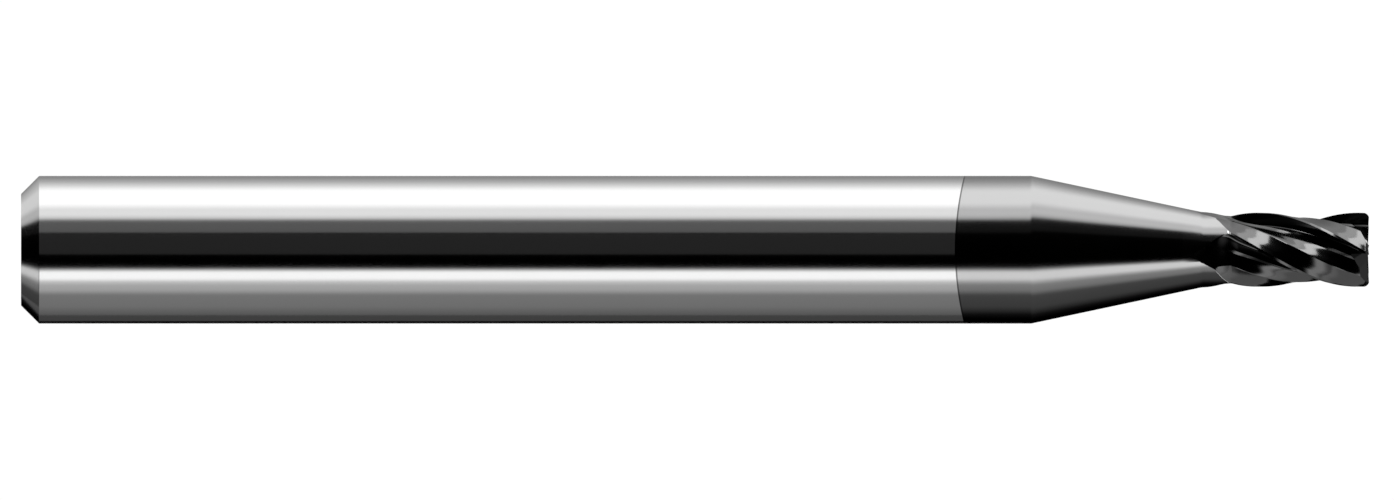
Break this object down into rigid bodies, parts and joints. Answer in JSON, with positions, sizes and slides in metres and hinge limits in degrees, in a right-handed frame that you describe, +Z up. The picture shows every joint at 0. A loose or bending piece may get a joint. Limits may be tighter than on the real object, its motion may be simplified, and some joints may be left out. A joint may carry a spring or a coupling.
{
  "type": "end mill",
  "caption": "Solid-carbide corner-radius end mill with a plain shank, a long taper and a small fluted head.",
  "frame": {"origin": "centre of the flat face at the back of the shank", "axes": "+X along the tool axis towards the cutting end; +Z up with the tool lying level"},
  "size_m": [0.0547, 0.006, 0.006],
  "materials": {
    "ground_carbide": "fine ground, bright",
    "coated_carbide": "dark hard coating, semi-gloss"
  },
  "bodies": {
    "root": {"shank": "ground_carbide", "coated_collar": "coated_carbide", "neck_taper": "coated_carbide", "cutting_head": "coated_carbide"}
  },
  "joints": []
}
